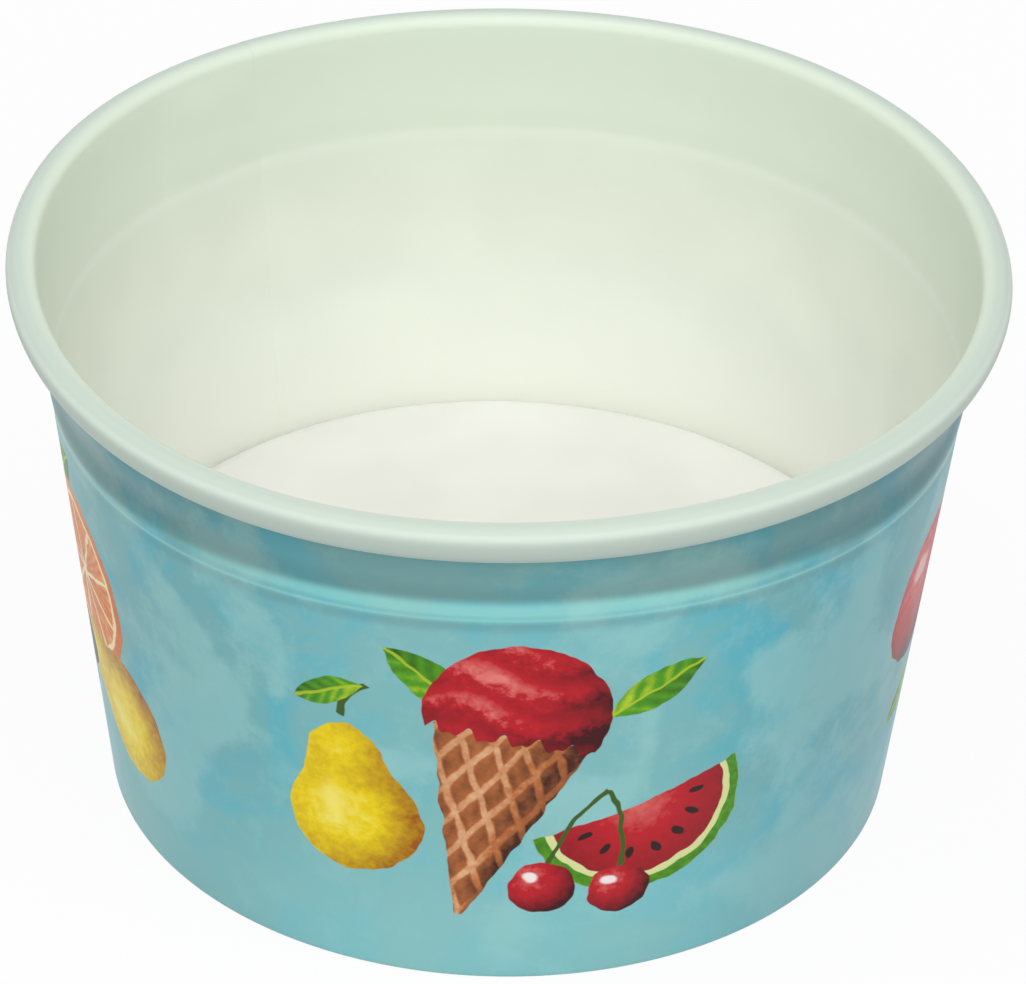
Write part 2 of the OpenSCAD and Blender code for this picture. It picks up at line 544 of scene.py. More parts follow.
def wrap_tree(values):
    """Tree that sweeps a section once round and on over its own start, with an input for each value."""
    tree = bpy.data.node_groups.new("Wrap Board", "GeometryNodeTree")
    tree.interface.new_socket("Geometry", in_out="INPUT", socket_type="NodeSocketGeometry")
    for name, value in values.items():
        tree.interface.new_socket(name, in_out="INPUT", socket_type=SOCKETS[type(value)])
    tree.interface.new_socket("Geometry", in_out="OUTPUT", socket_type="NodeSocketGeometry")
    graph = Graph(tree)
    given = graph.node("NodeGroupInput", output="Geometry")

    def carried(name):
        return graph.node("GeometryNodeInputNamedAttribute", {"data_type": "FLOAT"}, {"Name": name})

    def keep(geometry, name, kept):
        return graph.node(
            "GeometryNodeStoreNamedAttribute",
            {"data_type": "FLOAT", "domain": "POINT"},
            {"Geometry": geometry, "Name": name, "Value": kept},
        )

    section = graph.node("GeometryNodeMeshToCurve", inputs={"Mesh": given})
    line = graph.node("GeometryNodeCurvePrimitiveLine")
    columns = graph.node(
        "GeometryNodeResampleCurve",
        {"mode": "COUNT"},
        {"Curve": line, "Count": given.output("Columns")},
    )
    walk = keep(columns, "walk", graph.node("GeometryNodeSplineParameter", output="Factor"))
    sheet = graph.node("GeometryNodeCurveToMesh", inputs={"Curve": walk, "Profile Curve": section})

    lap_angle = given.output("Lap Angle")
    start = lap_angle * (1 - carried("lap"))
    whole = lap_angle + TURN
    swing = start + carried("walk") * (whole - start)
    sheet = keep(sheet, "swing", swing)
    swing = carried("swing")
    edge = given.output("Lap Edge")
    gap = given.output("Lap Gap")
    board = given.output("Board")
    ramp = given.output("Ramp Angle")
    step = smooth(swing, TURN - ramp, TURN) * edge
    beside = smaller(larger((swing - TURN) / ramp + 1, 0.0), 1.0)
    bow = 4 * beside * (1 - beside) * carried("flat") * given.output("Lap Flat")
    layer = (board + gap - edge) * carried("thick")
    climb = smooth(swing, TURN, whole) * layer
    thin = smooth(swing, lap_angle, 0.0) * carried("printed") * layer
    lift = carried("lap") * (step + climb - thin - bow)
    heading = given.output("Seam Angle") - swing
    out = carried("out") + carried("face_out") * lift
    up = carried("up") + carried("face_up") * lift
    floor_height = given.output("Floor Height")
    share = larger((up - floor_height) / (given.output("Cup Height") - floor_height), 0.0)
    wave = given.output("Saddle") * cosine(2 * (heading - given.output("Saddle Angle")))
    wave = wave + given.output("Ripple") * cosine(3 * (heading - given.output("Ripple Angle")))
    up = up + wave * share
    place = graph.node(
        "ShaderNodeCombineXYZ", inputs={"X": out * cosine(heading), "Y": out * sine(heading), "Z": up}
    )
    wrapped = graph.node("GeometryNodeSetPosition", inputs={"Geometry": sheet, "Position": place})

    turns = (heading - FRONT_ANGLE) / TURN * given.output("Print Turns")
    odd = over(fraction(turns / 2 + 0.25), 0.5)
    printed = over(carried("printed"), PRINTED_FROM)
    solid = graph.node("GeometryNodeRealizeInstances", inputs={"Geometry": wrapped})
    chosen = {"White": True, "Front Print": printed, "Side Print": printed * odd}
    for material, selection in chosen.items():
        inputs = {"Geometry": solid, "Selection": selection, "Material": given.output(material)}
        solid = graph.node("GeometryNodeSetMaterial", inputs=inputs)
    graph.node("NodeGroupOutput", inputs={"Geometry": solid})
    return tree


def settle(item, values):
    """Wraps an object's outline and leaves the plain mesh that this makes."""
    tree = wrap_tree(values)
    modifier = item.modifiers.new("Wrap", "NODES")
    modifier.node_group = tree
    sockets = {
        socket.name: socket.identifier
        for socket in tree.interface.items_tree
        if socket.item_type == "SOCKET" and socket.in_out == "INPUT"
    }
    for name, value in values.items():
        modifier[sockets[name]] = value
    made = bpy.data.meshes.new_from_object(
        item.evaluated_get(bpy.context.evaluated_depsgraph_get())
    )
    item.modifiers.remove(modifier)
    item.data = made
    return made


# Texture maps of the board

PRINT_MAP = "Print"
BAKE_MAP = "OFBake"
# Rows of the map for baking, each with its start and height: the print's two half turns and the white side
BAKE_ROWS = ((0.0, 0.36), (0.37, 0.36), (0.74, 0.25))
BAKE_MARGIN = 0.005


def point_values(mesh, name):
    """One named value of every point."""
    values = np.empty(len(mesh.vertices), dtype=np.float32)
    mesh.attributes[name].data.foreach_get("value", values)
    return values


def face_means(mesh, values):
    """Mean of the points' values over each corner's own face, corner by corner."""
    sizes = np.empty(len(mesh.polygons), dtype=np.int32)
    mesh.polygons.foreach_get("loop_total", sizes)
    face_of_corner = np.repeat(np.arange(len(sizes)), sizes)
    sums = np.bincount(face_of_corner, weights=values, minlength=len(sizes))
    return (sums / sizes)[face_of_corner]


def close_ends(mesh):
    """Closes the board's two cut ends with a strip of faces across its thickness."""
    walk = point_values(mesh, "walk")
    printed = point_values(mesh, "printed") > 0.5
    slant = point_values(mesh, "slant")
    shell = bmesh.new()
    shell.from_mesh(mesh)
    shell.verts.ensure_lookup_table()
    for end in (walk == walk.min(), walk == walk.max()):
        faces = []
        for side in (printed, ~printed):
            spots = np.flatnonzero(end & side)
            faces.append([shell.verts[spot] for spot in spots[np.argsort(slant[spots])]])
        outer, inner = faces
        for step in range(len(outer) - 1):
            shell.faces.new((outer[step], outer[step + 1], inner[step + 1], inner[step]))
    bmesh.ops.recalc_face_normals(shell, faces=shell.faces)
    shell.to_mesh(mesh)
    shell.free()


def add_map(mesh, name, across, up):
    """Adds a texture map from two values at each corner."""
    layer = mesh.uv_layers.new(name=name)
    layer.data.foreach_set("uv", np.column_stack([across, up]).astype(np.float32).ravel())
    return layer


def map_board(mesh, section, seam_angle):
    """Adds the map that the print follows and the map for baking."""
    corners = np.empty(len(mesh.loops), dtype=np.int32)
    mesh.loops.foreach_get("vertex_index", corners)
    swing = point_values(mesh, "swing")[corners]
    slant = point_values(mesh, "slant")[corners]
    printed = face_means(mesh, point_values(mesh, "printed")[corners]) > PRINTED_FROM
    turns = (seam_angle - swing - FRONT_ANGLE) / TURN
    layer = add_map(mesh, PRINT_MAP, turns, slant)

    half_turn = swing.max() / 2
    late = face_means(mesh, swing) > half_turn
    half = np.where(late, swing - half_turn, swing) / half_turn
    across = np.where(printed, half, swing / swing.max())
    low, high = slant.min(), slant.max()
    start, tall = np.array(BAKE_ROWS)[np.where(printed, late, 2)].T
    up = start + tall * (slant - low) / (high - low)
    inner = 1 - 2 * BAKE_MARGIN
    add_map(mesh, BAKE_MAP, BAKE_MARGIN + inner * across, BAKE_MARGIN + inner * up)
    layer.active_render = True
    mesh.uv_layers.active = layer
    for name in (*OUTLINE_VALUES, "walk", "swing"):
        mesh.attributes.remove(mesh.attributes[name])


def outward(mesh):
    """Turns a closed mesh's faces outwards, if they aren't."""
    mesh.calc_loop_triangles()
    points = np.empty(len(mesh.vertices) * 3, dtype=np.float32)
    mesh.vertices.foreach_get("co", points)
    corners = np.empty(len(mesh.loop_triangles) * 3, dtype=np.int32)
    mesh.loop_triangles.foreach_get("vertices", corners)
    first, second, third = points.reshape(-1, 3)[corners.reshape(-1, 3)].transpose(1, 0, 2)
    if np.einsum("ij,ij->i", first, np.cross(second, third)).sum() < 0:
        mesh.flip_normals()


SHARP_ANGLE = math.radians(50)


def finish_mesh(mesh):
    """Turns the faces outwards and shades them smooth between sharp edges."""
    outward(mesh)
    mesh.shade_smooth()
    mesh.set_sharp_from_angle(angle=SHARP_ANGLE)


# Board materials

# Clouds over the board: scale per metre, detail, roughness and swirl
RIPPLE_CLOUD = (210.0, 0.0)
PATCH_CLOUD = (90.0, 1.0, 0.6)
BROAD_CLOUD = (70.0, 4.0, 0.6, 1.2)
FINE_CLOUD = (240.0, 4.0, 0.7)
BLOOM_CLOUD = (52.0, 1.0, 0.5, 1.0)
SWAY_CLOUD = (420.0, 1.0, 0.6)
GRAIN_CLOUD = (900.0, 2.0, 0.7)

# The film: how uneven its gloss is, how deep its ripple is, and roughness and ripple of each side
GLOSS_SPREAD = 0.10
RIPPLE_DEPTH = 0.04 * MM
WHITE_FILM = (0.38, 0.12)
PRINT_FILM = (0.34, 0.15)
ROLL_ROUGHER = 0.06
SHEEN = 0.2

# Patches of the white board: where they start and end in their cloud, and how dark they are
PATCH_STEP = (0.3, 0.7)
PATCH_DEPTH = 0.05
BLACK = (0.0, 0.0, 0.0, 1.0)
WHITE = (1.0, 1.0, 1.0, 1.0)

# Painted light and shade on the white board, in mm up from the fold, from the bead or from the wall's top
LOW_PAINTED_LIGHT = (14.0, 34.0)
INNER_BEAD_HIGHLIGHT = (-1.4, -0.4, -0.2, 0.6, 0.2)
ROLL = (0.6, 1.9)
ROLL_SHOULDER_HIGHLIGHT = (2.6, 3.0, 3.1, 3.6, 0.4)
ROLL_UNDER_SHADE = (3.4, 5.2)


def new_material(name):
    """Empty material with a Principled shader, as a graph and that shader's node."""
    material = bpy.data.materials.new(name)
    material.use_nodes = True
    tree = material.node_tree
    shader = tree.nodes["Principled BSDF"]
    return material, Graph(tree), shader


def object_place(graph):
    """Place on the piece in metres."""
    return graph.node("ShaderNodeTexCoord", output="Object")


def print_place(graph):
    """Place on the board: turns round the cup from the front, and metres up the slant from the fold."""
    spot = graph.node("ShaderNodeUVMap", {"uv_map": PRINT_MAP})
    turns = graph.node("ShaderNodeSeparateXYZ", inputs={"Vector": spot}, output="X")
    return turns, turns.output("Y")


def coat(graph, shader, place, rough, bump):
    """Satin film over paper: uneven gloss and a faint ripple."""
    ripple = noise(place, *RIPPLE_CLOUD)
    graph.join(rough + GLOSS_SPREAD * (ripple - 0.5), shader.inputs["Roughness"])
    bumps = {"Strength": bump, "Distance": RIPPLE_DEPTH, "Height": ripple}
    graph.join(graph.node("ShaderNodeBump", inputs=bumps), shader.inputs["Normal"])


def uneven(place, tint):
    """A white that is slightly darker in patches."""
    base = linear(tint)
    patches = smooth(noise(place, *PATCH_CLOUD), *PATCH_STEP)
    return mix(patches, blend(base, BLACK, PATCH_DEPTH), base)


def floor_board(colours):
    """Coated white board of the bottom disc."""
    material, graph, shader = new_material("white_floor_board")
    place = object_place(graph)
    graph.join(uneven(place, colours.disc), shader.inputs["Base Color"])
    coat(graph, shader, place, *WHITE_FILM)
    return material


def white_board(section, colours):
    """Coated white board of the sidewall, with painted light low down, painted shade towards the top, which
    is greener, a painted highlight at the bead, and painted shade on the roll with a painted highlight on its
    shoulder.
    """
    material, graph, shader = new_material("white_coated_board")
    place = object_place(graph)
    _, slant = print_place(graph)
    past = slant - section.wall_l
    # Mask of the roll: it lays painted shade on the roll's colour and makes its film rougher
    rolled = rise_mm(past, *ROLL)
    # Painted light low on the inside wall, fading out upwards
    tone = mix(1 - rise_mm(slant, *LOW_PAINTED_LIGHT), uneven(place, colours.board), linear(colours.board_low_painted_light))
    # Painted shade towards the top of the inside wall
    tone = mix(smooth(slant, section.wall_l / 2, section.wall_l), tone, linear(colours.board_top_painted_shade))
    # Painted highlight along the bead's line on the inside
    tone = mix(strip_mm(slant - section.bead_y, *INNER_BEAD_HIGHLIGHT), tone, linear(colours.bead_highlight_inside))
    # Painted shade over the roll
    tone = mix(rolled, tone, linear(colours.rim))
    # Painted highlight on the roll's outer shoulder
    tone = mix(strip_mm(past, *ROLL_SHOULDER_HIGHLIGHT), tone, linear(colours.rim_shoulder_highlight))
    # Painted shade on the underside of the roll
    tone = mix(rise_mm(past, *ROLL_UNDER_SHADE), tone, linear(colours.rim_under_shade))
    graph.join(tone, shader.inputs["Base Color"])
    shader.inputs["Specular IOR Level"].default_value = SHEEN
    rough, bump = WHITE_FILM
    coat(graph, shader, place, rough + ROLL_ROUGHER * rolled, bump)
    return material


# The print

class Page:
    """The printed side near one group of motifs: places in mm, and the colour so far."""

    # Half the width of a motif's soft edge
    edge = 0.07

    def __init__(self, graph, across, up, ground, grain):
        self.graph = graph
        self.across = across
        self.up = up
        self.shade = ground
        self.grain = grain

    def local(self, at, degrees=0.0):
        """Place seen from a point, with the first axis turned by some degrees."""
        across = self.across - at[0]
        up = self.up - at[1]
        if not degrees:
            return across, up
        sine_turn = math.sin(math.radians(degrees))
        cosine_turn = math.cos(math.radians(degrees))
        return across * cosine_turn + up * sine_turn, up * cosine_turn - across * sine_turn

    def lay(self, mask, shade):
        """Lays a colour over what is there."""
        self.shade = mix(mask, self.shade, shade)

    def inside(self, depth):
        """Mask of where a depth in mm is over nought."""
        return smooth(depth, -self.edge, self.edge)

    def light(self, base, mottle, *parts):
        """Lightness of the ink: a base, its mottle, and values that each come with their weight."""
        total = base + mottle * (self.grain - 0.5)
        for weight, value in parts:
            total = total + weight * value
        return total

    def glint(self, off, start, share, shade):
        """Lays a pale spot that fades out where its distance goes from a start to one."""
        self.lay((1 - smooth(off, start, 1.0)) * share, shade)


# What each ink turns to in the shade and where it shines, as it looks on a screen
RED_INK = ((0.25, 0.00, 0.04), (1.00, 0.62, 0.58))
YELLOW_INK = ((0.62, 0.33, 0.02), (1.00, 0.97, 0.55))
ORANGE_INK = ((0.58, 0.22, 0.02), (1.00, 0.82, 0.48))
GREEN_INK = ((0.05, 0.23, 0.04), (0.82, 0.87, 0.20))
VIOLET_INK = ((0.07, 0.05, 0.18), (0.66, 0.62, 0.84))
WAFER_INK = ((0.27, 0.11, 0.05), (0.97, 0.80, 0.62))
# Single tones in the motifs, as they look on a screen
MELON_PITH = (0.86, 0.88, 0.62)
MELON_SEED = (0.16, 0.06, 0.06)
CITRUS_PITH = (0.96, 0.90, 0.70)
STALK = (0.24, 0.36, 0.10)
GLINT = (1.0, 0.96, 0.94, 1.0)


MIDDLE_SHADE = 0.5
PALE_SHADE = 0.65


def shades_of(tone, ink):
    """Four shades of one colour, dark to pale."""
    base = linear(tone)
    dark, pale = (linear(part) for part in ink)
    return dark, blend(dark, base, MIDDLE_SHADE), base, blend(base, pale, PALE_SHADE)


def length_of(across, up):
    """Length of a flat vector."""
    return root(across * across + up * up)


def ball(page, at, radius, shades, shine=0.85):
    """Round fruit lit from the upper left, with a small highlight."""
    across, up = page.local(at)
    across = across / radius
    up = up / radius
    out = length_of(across, up)
    light = page.light(0.66, 0.5, (-0.30, across), (0.34, up), (-0.42, out * out))
    page.lay(page.inside((1 - out) * radius), tones(light, shades))
    page.glint(length_of((across + 0.34) * 3.0, (up - 0.40) * 4.4), 0.55, shine, GLINT)


VEINS = 16.0
VEIN_SLANT = 7.0
RIB_HALF = 0.16


def leaf(page, at, degrees, half_length, half_width, shades):
    """Pointed leaf with a light midrib and slanting veins."""
    along, side = page.local(at, degrees)
    along = along / half_length
    near = abs(side)
    veins = sine(along * VEINS - near * (VEIN_SLANT / half_width))
    light = page.light(0.5, 0.5, (0.22, over(side, 0.0)), (0.12, veins), (-0.25, along))
    depth = half_width * (1 - along * along) - near
    page.lay(page.inside(depth), tones(light, shades))
    page.lay(page.inside(RIB_HALF - near) * page.inside(depth) * 0.8, shades[-1])


def stem(page, start, stop, bow, width, shade):
    """Thin stalk that bows to one side."""
    across, up = stop[0] - start[0], stop[1] - start[1]
    run = math.hypot(across, up)
    along, side = page.local(start, math.degrees(math.atan2(up, across)))
    share = along / run
    off = abs(side - 4 * bow * share * (1 - share))
    ends = page.inside(along) * page.inside(run - along)
    page.lay(page.inside(width / 2 - off) * ends, shade)


# Radii of a pear's body and neck, how far apart they are, and how softly they join
PEAR_BODY = 6.6
PEAR_NECK = 3.3
PEAR_RISE = 8.4
PEAR_JOIN = 6.5


def pear(page, at, degrees, shades):
    """Pear that stands on its round end."""
    side, along = page.local(at, degrees)
    body = PEAR_BODY - length_of(side, along)
    neck = PEAR_NECK - length_of(side, along - PEAR_RISE)
    depth = soft_larger(body, neck, PEAR_JOIN)
    light = page.light(0.32, 0.55, (-0.040, side), (0.016, along), (0.42, smooth(depth, 0.0, 5.0)))
    page.lay(page.inside(depth), tones(light, shades))
    page.glint(length_of((side + 2.0) / 1.7, (along - 1.6) / 4.0), 0.0, 0.8, shades[-1])


RIDGE_PITCH = 3.1
RIDGE_SLOPE = 0.5
RIDGE_STEP = (0.62, 0.86)
PIT_STEP = (-0.5, 0.6)


def wafer_cone(page, at, degrees, tall, half_mouth, shades):
    """Wafer cone with its crossed ridges; the tip is at the given place."""
    side, along = page.local(at, degrees)
    reach = half_mouth * smaller(along / tall, 1.0) + 0.5
    depth = smaller(reach - abs(side), smaller(along + 0.4, tall - along))
    ridges = []
    for slope in (RIDGE_SLOPE, -RIDGE_SLOPE):
        ridges.append(abs(fraction((side + slope * along) / RIDGE_PITCH) - 0.5) * 2)
    ridge = smooth(larger(*ridges), *RIDGE_STEP)
    pit = smooth(ridges[0] - ridges[1], *PIT_STEP) * (1 - ridge)
    off = side / reach
    light = page.light(0.52, 0.6, (-0.22, off), (-0.30, off * off), (0.34, ridge), (-0.20, pit))
    page.lay(page.inside(depth), tones(light, shades))


def scoop(page, at, degrees, radius, shades):
    """Scoop of ice with a frilled lower edge and pale ripples."""
    side, along = page.local(at, degrees)
    out = length_of(side, along)
    frill = 0.55 * sine(side * 1.9) + 0.3 * sine(side * 3.7 + 1.0)
    depth = smaller(radius - out, along + 0.36 * radius + frill)
    ripple = sine(along * 1.5 + 1.6 * sine(side * 0.45 + 0.8) + 3.0 * page.grain)
    fall = (out / radius) ** 2
    light = page.light(0.60, 0.6, (-0.030, side), (0.036, along), (-0.36, fall), (0.13, ripple))
    page.lay(page.inside(depth), tones(light, shades))
    off = length_of((side + 0.36 * radius) / 1.9, (along - 0.48 * radius) / 0.9)
    page.glint(off, 0.4, 0.8, shades[-1])


PITH_DEPTH = 1.9
RIND_DEPTH = 1.15
SEED_STEP = math.pi / 7


def melon_slice(page, at, degrees, radius, flesh, rind):
    """Half-round slice: green rind, a pale band, flesh and a row of seeds."""
    side, up = page.local(at, degrees)
    out = length_of(side, up)
    depth = smaller(radius - out, 0.3 - up)
    inside = page.inside(depth)
    page.lay(inside, tones(page.light(0.87, 0.25, (-0.06, out)), flesh))
    page.lay(inside * page.inside(out - radius + PITH_DEPTH), linear(MELON_PITH))
    page.lay(inside * page.inside(out - radius + RIND_DEPTH), tones(page.grain, rind))
    heading = heading_of(side, -up)
    swing = (fraction(heading / SEED_STEP + 0.5) - 0.5) * SEED_STEP * out
    seed = length_of(swing / 0.42, (out - 0.56 * radius) / 0.85)
    page.lay((1 - smooth(seed, 0.8, 1.1)) * page.inside(depth - 0.6), linear(MELON_SEED))


SEGMENT = TURN / 9
SEGMENT_GAP = 0.22
DROPS = 40.0


def citrus_half(page, at, degrees, radius, shades):
    """Cut half of a citrus fruit with its segments."""
    side, up = page.local(at, degrees)
    out = length_of(side, up)
    page.lay(page.inside(radius - out), tones(page.light(0.75, 0.5, (-0.03, side)), shades))
    page.lay(page.inside(0.86 * radius - out), linear(CITRUS_PITH))
    heading = heading_of(side, up)
    swing = (fraction(heading / SEGMENT) - 0.5) * SEGMENT
    gap = (SEGMENT / 2 - abs(swing)) * out
    depth = smaller(smaller(0.80 * radius - out, gap - SEGMENT_GAP), out - 0.09 * radius)
    light = page.light(0.45, 0.7, (0.04, out), (0.10, sine(heading * DROPS)))
    page.lay(page.inside(depth), tones(light, shades))


def plum_row(page, places, radius, shades):
    """Bunch of small round fruit, the lowest laid last."""
    for place in places:
        ball(page, place, radius, shades, 0.55)


def front_motifs(page, colours):
    """Cone with a scoop, a melon slice, a pear and a pair of cherries."""
    green = shades_of(colours.green, GREEN_INK)
    red = shades_of(colours.red, RED_INK)
    yellow = shades_of(colours.yellow, YELLOW_INK)
    stalk = linear(STALK)
    leaf(page, (-8.5, 11.5), 140, 5.6, 2.2, green)
    leaf(page, (13.0, 9.5), 30, 5.4, 2.1, green)
    melon_slice(page, (11.5, -5.0), 18, 10.5, red, green)
    wafer_cone(page, (-5.4, -17.5), -12, 23.0, 7.2, shades_of(colours.wafer, WAFER_INK))
    scoop(page, (-0.2, 7.4), -12, 8.8, red)
    stem(page, (-17.0, 5.6), (-14.4, 10.0), 0.5, 0.8, stalk)
    pear(page, (-15.4, -7.2), 8, yellow)
    leaf(page, (-18.2, 8.2), 205, 3.8, 1.6, green)
    stem(page, (2.6, -12.6), (8.6, -2.4), 1.0, 0.5, stalk)
    stem(page, (9.6, -13.4), (8.6, -2.4), -0.9, 0.5, stalk)
    ball(page, (2.4, -14.2), 3.2, red)
    ball(page, (9.8, -15.2), 3.0, red)


def side_motifs(page, colours):
    """Bunch of dark plums, a citrus half, a peach and leaves."""
    green = shades_of(colours.green, GREEN_INK)
    orange = shades_of(colours.orange, ORANGE_INK)
    yellow = shades_of(colours.yellow, YELLOW_INK)
    violet = shades_of(colours.violet, VIOLET_INK)
    leaf(page, (-3.0, 12.5), 120, 6.0, 2.4, green)
    leaf(page, (6.5, 12.0), 40, 5.6, 2.3, green)
    ball(page, (-12.5, 2.5), 8.2, shades_of(colours.red, RED_INK), 0.4)
    citrus_half(page, (10.5, 2.5), 10, 9.2, orange)
    pear(page, (17.5, -10.0), 70, yellow)
    plum_row(page, [(-6.0, -6.0), (0.0, -5.0), (5.6, -8.0), (-3.0, -10.4), (2.6, -12.6)], 3.2, violet)
    leaf(page, (-12.0, -11.0), 205, 4.2, 1.7, green)


# Groups of motifs round the cup, and in mm their middle up the slant and to the right, and their sway
PRINT_TURNS = 4
MOTIF_HEIGHT = 25.5
MOTIF_SHIFT = 2.0
MOTIF_SWAY = 0.9

# Where each cloud turns to a tone of the wash, and how strong that tone is
POOL_STEP = (0.42, 0.66)
BLOOM_STEP = (0.50, 0.68)
BLOOM_FRAY = 0.35
BLOOM_SHARE = 0.7
FLECK_STEP = (0.48, 0.72)
FLECK_SHARE = 0.35
LOW_WASH = (1.0, 26.0)
LOW_SHARE = 0.55

# Painted light makes the wash paler at the front and back, and painted shade greys it at the sides, most on
# the right; a side's share is one at left and right
FRONT_LIGHT_STEP = (0.0, 0.35)
FRONT_LIGHT_SHARE = 0.3
SIDE_SHADE_STEP = (0.1, 0.6)
SIDE_SHADE_SHARE = 0.45
SIDE_SHADE_LEAN = 0.25

# Painted shade under the bead, a painted highlight on it and a painted shadow of the rim over it, in mm and
# with their strength, and how they sink and fade at the sides
UNDER_BEAD_SHADE = (-1.9, -0.8, -0.6, 0.0, 0.35)
UNDER_BEAD_SHADE_LOSS = 4 / 7
CREST_HIGHLIGHT_LINE = (-0.2, 0.1, 0.1, 0.5, 0.4)
PAINTED_LINES_SINK = 1.6 * MM
CREST_HIGHLIGHT_SLOPE = (0.1, 0.8, 1.2, 2.1, 0.5)
CREST_HIGHLIGHT_LOSS = 1.4
NECK_SHADOW = (-0.8, 0.3)
NECK_SHADOW_STRENGTH = 0.77
NECK_SHADOW_SINK = 2.9 * MM
NECK_SHADOW_FADE = (0.4, 2.4)
NECK_SHADOW_LOSS = 0.2


def cloudy_wash(place, slant, colours):
    """Blue wash that pools and fades, paler towards the base."""
    pale = linear(colours.wash_pale)
    fine = noise(place, *FINE_CLOUD)
    pools = smooth(noise(place, *BROAD_CLOUD), *POOL_STEP)
    ground = mix(pools, linear(colours.wash), linear(colours.wash_deep))
    blooms = smooth(noise(place, *BLOOM_CLOUD) + BLOOM_FRAY * (fine - 0.5), *BLOOM_STEP)
    ground = mix(blooms * BLOOM_SHARE, ground, pale)
    ground = mix(smooth(fine, *FLECK_STEP) * FLECK_SHARE, ground, pale)
    return mix((1 - rise_mm(slant, *LOW_WASH)) * LOW_SHARE, ground, linear(colours.wash_low))


def wash(section, place, turns, slant, colours):
    """Clouded wash, with painted shade that greys the cup's sides, painted light at front and back, a painted
    highlight and shade at the bead, and a painted shadow of the rim over the bead that sinks at the sides.
    """
    # Colour of the painted shade in the wash
    neck = linear(colours.wash_shade)
    side = 0.5 - 0.5 * cosine(turns * (2 * TURN))
    ground = cloudy_wash(place, slant, colours)
    # Painted light at the front and back
    face = (1 - smooth(side, *FRONT_LIGHT_STEP)) * FRONT_LIGHT_SHARE
    ground = mix(face, ground, linear(colours.wash_pale))
    # Painted shade at the sides, most on the right
    side_shade = smooth(side, *SIDE_SHADE_STEP) * (SIDE_SHADE_SHARE + SIDE_SHADE_LEAN * sine(turns * TURN))
    ground = mix(side_shade, ground, linear(colours.wash_side_shade), "MULTIPLY")
    above = slant - section.bead_y
    # Where the painted lines at the bead lie, lower at the sides
    line = above + side * PAINTED_LINES_SINK
    # Painted shade: a dark line under the bead, weaker at the sides
    under = strip_mm(line, *UNDER_BEAD_SHADE) * (1 - UNDER_BEAD_SHADE_LOSS * side)
    ground = mix(under, ground, neck, "MULTIPLY")
    # Painted highlight on the bead's crest and on its upper slope, which fades at the sides
    slope = strip_mm(above, *CREST_HIGHLIGHT_SLOPE) * larger(1 - CREST_HIGHLIGHT_LOSS * side, 0.0)
    ground = mix(strip_mm(line, *CREST_HIGHLIGHT_LINE) + slope, ground, linear(colours.wash_crest_highlight))
    # Painted shadow of the rim on the neck, lower at the sides and weaker higher up
    over_neck = above - section.sizes.bead_above
    neck_shadow = rise_mm(over_neck + side * NECK_SHADOW_SINK, *NECK_SHADOW) * NECK_SHADOW_STRENGTH
    return mix(neck_shadow * (1 - NECK_SHADOW_LOSS * rise_mm(over_neck, *NECK_SHADOW_FADE)), ground, neck, "MULTIPLY")


def printed_board(name, section, colours, motifs):
    """Coated board with the wash and one group of motifs, repeated round the cup."""
    material, graph, shader = new_material(name)
    place = object_place(graph)
    turns, slant = print_place(graph)
    base_r = section.sizes.base_d / 2 * PER_METRE
    radius = base_r + slant * (PER_METRE * math.sin(section.lean))
    share = (fraction(turns * PRINT_TURNS + 0.5) - 0.5) * (TURN / PRINT_TURNS)
    wobble = noise(place, *SWAY_CLOUD).output("Color")
    sway = graph.node("ShaderNodeSeparateXYZ", inputs={"Vector": wobble}, output="X")
    across = share * radius - MOTIF_SHIFT + MOTIF_SWAY * (sway - 0.5)
    up = slant * PER_METRE - MOTIF_HEIGHT + MOTIF_SWAY * (sway.output("Y") - 0.5)
    ground = wash(section, place, turns, slant, colours)
    page = Page(graph, across, up, ground, noise(place, *GRAIN_CLOUD))
    motifs(page, colours)
    graph.join(page.shade, shader.inputs["Base Color"])
    shader.inputs["Specular IOR Level"].default_value = SHEEN
    coat(graph, shader, place, *PRINT_FILM)
    return material


# The bottom disc

DISC_COLUMNS = 144
FLOOR_POINTS = 22
FLOOR_BEND_STEPS = 8
# The floor's wave: two and three swells round it, how far the first are turned, and the middle's dip
TWO_SWELLS = 0.6
THREE_SWELLS = 0.4
SWELL_TURN = 0.7
FLOOR_DIP = 0.5


def disc_outline(section):
    """Radius and height along the disc's section: floor, bend, skirt and back under."""
    sizes = section.sizes
    bend_r = sizes.floor_bend_r
    bend_x = sizes.disc_t / 2 - bend_r
    skirt_rise = sizes.floor_h - bend_r - section.fold_z + bend_x * math.sin(section.lean)
    skirt_l = skirt_rise / math.cos(section.lean)
    centre, _ = section.stand(bend_x, skirt_l)
    height = sizes.floor_h - bend_r
    half_out, half_up = section.turn(sizes.disc_t / 2, 0)
    low = -math.degrees(section.lean)
    flat = np.linspace(0, centre, FLOOR_POINTS)[:-1]
    top = [(out, sizes.floor_h) for out in flat]
    outer = bend((centre, height), bend_r, 90, low, FLOOR_BEND_STEPS, 1)
    top += [point for point, _, _ in outer]
    skirt = [
        (section.fold_x + half_out, section.fold_z + half_up),
        (section.fold_x - half_out, section.fold_z - half_up),
    ]
    inner = bend((centre, height), bend_r - sizes.disc_t, low, 90, FLOOR_BEND_STEPS, 1)
    under = [point for point, _, _ in inner]
    under += [(out, sizes.floor_h - sizes.disc_t) for out in flat[::-1]]
    return top + skirt + under


def disc_wave(out, heading, reach, sag):
    """Slight unevenness of the floor, none at its edge."""
    share = out / reach
    if share >= 1:
        return 0.0
    fade = (1 - share * share) ** 2
    swells = TWO_SWELLS * math.cos(2 * heading + SWELL_TURN) + THREE_SWELLS * math.cos(3 * heading)
    return sag * fade * (swells * share - FLOOR_DIP)


